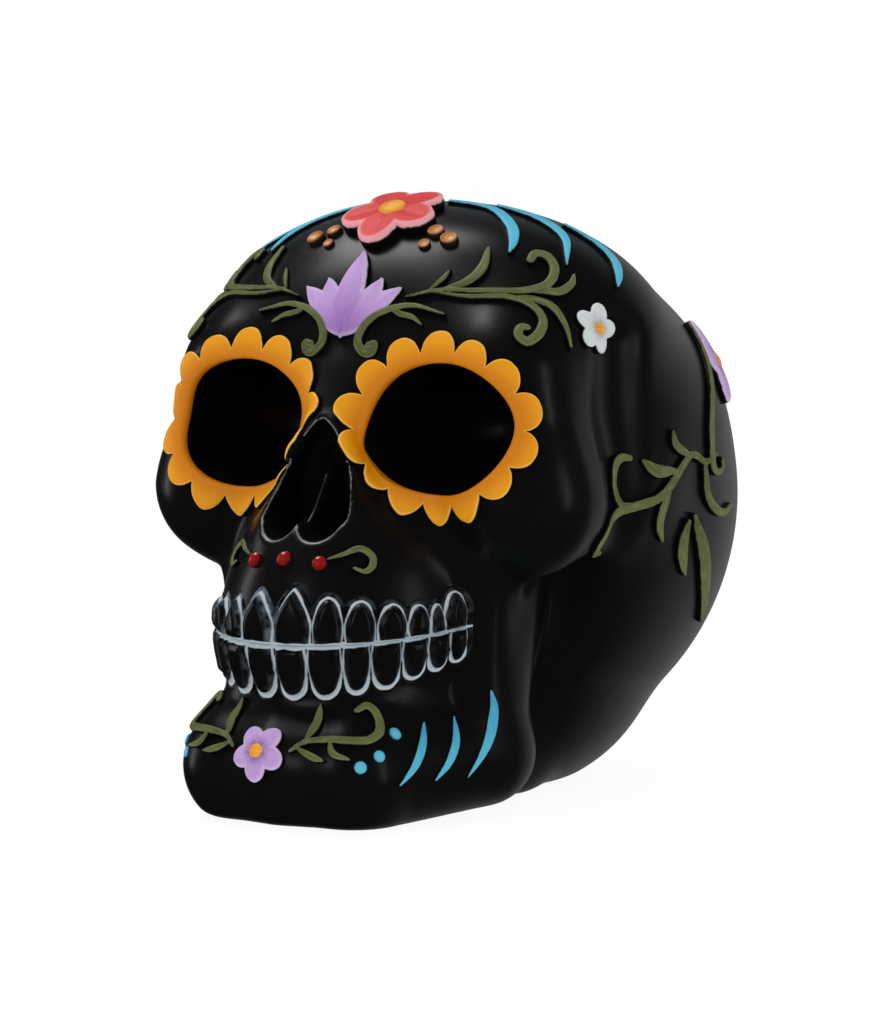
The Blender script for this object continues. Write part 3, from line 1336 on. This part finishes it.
def tooth_finish(name, foot_share, wash_share):
    finish, _ = black_lacquer(name)
    edge, foot, back, rise, blue = (finish.read(key) for key in ("edge", "foot", "back", "rise", "blue"))
    place = finish.place()
    wobble = finish.noise(place, 330.0, 3.0) - 0.5
    breaks = finish.noise(place, 420.0, 3.0)
    ragged = finish.noise(place, 210.0)
    thick = ragged * 0.5 - 0.09 + foot * foot_share - back.step(0.55, 1.0) * 0.12
    line = 1.0 - ((edge + foot * foot_share * 0.8 - 0.1 + wobble * 0.45).size() - thick).step(-0.12, 0.12)
    bite = 1.0 - (rise + wobble * 0.8 - 0.42 + back * 0.5).step(-0.1, 0.15)
    line = line.most(bite) * (breaks + 0.64 - back.step(0.5, 0.95) * 0.36).step(0.35, 0.6)
    beside = 1.0 - (edge + 0.2).size().step(0.3, 2.0)
    wash = beside * (wobble + 0.5).step(0.4, 0.65) * blue * wash_share
    washed = finish.mix(wash, shade(8, 8, 9), shade(120, 138, 152))
    finish.set(base_color=finish.mix(line, washed, shade(186, 198, 205)))
    finish.set(roughness=0.26 + line * 0.3)
    return finish


tooth_row("upper_teeth_row", "upper_teeth", True, tooth_finish("upper_tooth_paint", 0.14, 0.8))
tooth_row("lower_teeth_row", "lower_teeth", False, tooth_finish("lower_tooth_paint", 0.42, 0.3))

# %% [markdown]
# ## Bead tree
# The beads could be drops of resin: dished amber ones beside the blossom, red domes over the lip and
# small turquoise dots on the jaw. They repeat, so one node tree makes them all. Its named inputs are the
# size, the relief, the dish and the flat top, and the points carry each bead's way out of the skin.


# %% Bead tree
class Grower(Finish):
    """A geometry node tree with named inputs."""

    def __init__(self, name, inputs):
        self.tree = bpy.data.node_groups.new(name, "GeometryNodeTree")
        self.keys = {}
        for label, kind in inputs.items():
            socket = self.tree.interface.new_socket(label, in_out="INPUT", socket_type="NodeSocket" + kind)
            self.keys[label] = socket.identifier
        self.tree.interface.new_socket("Geometry", in_out="OUTPUT", socket_type="NodeSocketGeometry")
        self.source = self.tree.nodes.new("NodeGroupInput")
        self.end = self.tree.nodes.new("NodeGroupOutput")

    def given(self, label):
        return Value(self, self.source.outputs[label])

    def store(self, geometry, name, value):
        settings = {"data_type": "FLOAT", "domain": "POINT"}
        values = {"Geometry": geometry, "Name": name, "Value": value}
        return self.node("GeometryNodeStoreNamedAttribute", settings, values)

    def named(self, name, kind):
        return self.node("GeometryNodeInputNamedAttribute", {"data_type": kind}, {"Name": name})


BEAD_INPUTS = {"Points": "Geometry", "Radius": "Float", "Relief": "Float", "Dish": "Float", "Flat": "Float",
               "Seed": "Int", "Paint": "Material"}
tree = Grower("bead", BEAD_INPUTS)
ball = tree.node("GeometryNodeMeshUVSphere", {}, {"Segments": 40, "Rings": 24, "Radius": 1.0})
spot = tree.node("GeometryNodeInputPosition", {}, {})
ball_x, ball_y, ball_z = (tree.node("ShaderNodeSeparateXYZ", {}, {0: spot}, axis) for axis in "XYZ")
off_axis = ball_x * ball_x + ball_y * ball_y
dish = (1.0 - off_axis / 0.5).most(0.0) * ball_z.step(0.0, 0.6) * tree.given("Dish")
level = ball_z.least(tree.given("Flat")) / tree.given("Flat")
wide = tree.given("Radius")
formed = tree.node("ShaderNodeCombineXYZ", {}, {
    "X": ball_x * wide, "Y": ball_y * wide, "Z": level * tree.given("Relief") - dish})
noted = tree.store(tree.store(ball, "tone", off_axis), "edge", ball_z * 2.0)
bead = tree.node("GeometryNodeSetPosition", {}, {"Geometry": noted, "Position": formed})
bead = tree.node("GeometryNodeSetShadeSmooth", {}, {0: bead})
turned = tree.node("FunctionNodeAlignRotationToVector", {"axis": "Z"}, {
    "Vector": tree.named("way_out", "FLOAT_VECTOR")})
chance = tree.node("FunctionNodeRandomValue", {"data_type": "FLOAT"}, {
    2: 0.95, 3: 1.05, "Seed": tree.given("Seed")}, 1)
spread = tree.node("GeometryNodeInstanceOnPoints", {}, {
    "Points": tree.given("Points"), "Instance": bead, "Rotation": turned,
    "Scale": tree.named("own_size", "FLOAT") * chance})
real = tree.node("GeometryNodeRealizeInstances", {}, {0: spread})
done = tree.node("GeometryNodeSetMaterial", {}, {"Geometry": real, "Material": tree.given("Paint")})
tree.feed(tree.end.inputs[0], done)
print("bead tree", len(tree.tree.nodes), "nodes, inputs", *tree.keys)

# %% [markdown]
# ## Beads
# A mesh of bare points says where the beads go and how large each is. The tree grows them, the result is
# copied into a plain mesh, and the modifier is taken off again. Amber is dark round its foot and pale in
# its dish, the lip beads are glossy, and the jaw dots are matt paint.


# %% Beads
def beads(name, spots, sizes, shape, seed, finish, nodes):
    """Shape is the radius, the relief, the dish's depth and where the flat top starts."""
    radius, height, dish_depth, flat = shape
    spots = np.asarray(spots)
    mesh = bpy.data.meshes.new(name + "_points")
    mesh.from_pydata((spots * METRE).tolist(), [], [])
    way_out = mesh.attributes.new("way_out", "FLOAT_VECTOR", "POINT")
    way_out.data.foreach_set("vector", outward(spots).ravel())
    own_size = mesh.attributes.new("own_size", "FLOAT", "POINT")
    own_size.data.foreach_set("value", np.asarray(sizes, float))
    made = bpy.data.objects.new(name, mesh)
    bpy.context.scene.collection.objects.link(made)
    grow = made.modifiers.new("grow", "NODES")
    grow.node_group = tree.tree
    values = {"Radius": radius * METRE, "Relief": height * METRE, "Dish": dish_depth * METRE, "Flat": flat,
              "Seed": seed, "Paint": finish.material}
    for label, value in values.items():
        grow[tree.keys[label]] = value
    bpy.context.view_layer.update()
    grown = bpy.data.meshes.new_from_object(made.evaluated_get(bpy.context.evaluated_depsgraph_get()))
    made.modifiers.remove(grow)
    made.data = grown
    print(name, len(grown.polygons), "faces")
    return claim(made, nodes)


def both_sides(spots):
    spots = np.asarray(spots)
    return np.concatenate([spots, spots * (-1, 1, 1)])


def bead_paint(name, deep, body, pale, rough, gloss, slot=None):
    finish = Finish(name, slot)
    tone = finish.read("tone")
    cloud = finish.noise(finish.place(), 600.0)
    colour = finish.mix((tone + (cloud - 0.5) * 0.3).step(0.1, 0.6), shade(*pale), shade(*body))
    colour = finish.mix(tone.step(0.74, 0.9), colour, shade(*deep))
    finish.set(base_color=colour, roughness=rough + cloud * 0.1, coat_weight=gloss)
    return finish


def numbered(stem, sides=BOTH):
    return [side + stem + "_%d" % k for side in sides for k in (1, 2, 3)]


amber = bead_paint("amber_paint", (30, 18, 10), (150, 88, 34), (204, 140, 70), 0.3, 0.2)
red_gloss = bead_paint("red_gloss_paint", (64, 5, 6), (128, 14, 14), (140, 20, 18), 0.1, 0.6)
dot_blue = bead_paint("dot_paint", (40, 120, 150), (78, 176, 204), (86, 184, 210), 0.4, 0.0,
                      "turquoise_paint")
amber_spots = [blossom_seat.at(*at) for at in ((14.6, -5.5), (19.2, -7.5), (13.8, -10.4))]
lip_spots = [lip_seat.at(u, 0) for u in (-9.2, 0.001, 9.2)]
jaw_spots = [jaw_seat.at(*at) for at in ((-6.2, 4.6), (-12.5, -0.6), (-17.5, -2.6))]
beads("amber_beads", both_sides(amber_spots), [0.9, 1, 0.64] * 2, (2.4, 1.5, 0.5, 0.5), 4, amber,
      numbered("amber_bead"))
beads("lip_beads", lip_spots, [1, 1, 1], (2.0, 1.7, 0.0, 1.0), 7, red_gloss, numbered("lip_bead", ("",)))
beads("jaw_dots", both_sides(jaw_spots), [1.06, 1, 0.94] * 2, (1.55, 0.6, 0.0, 1.0), 9, dot_blue,
      numbered("jaw_dot"))
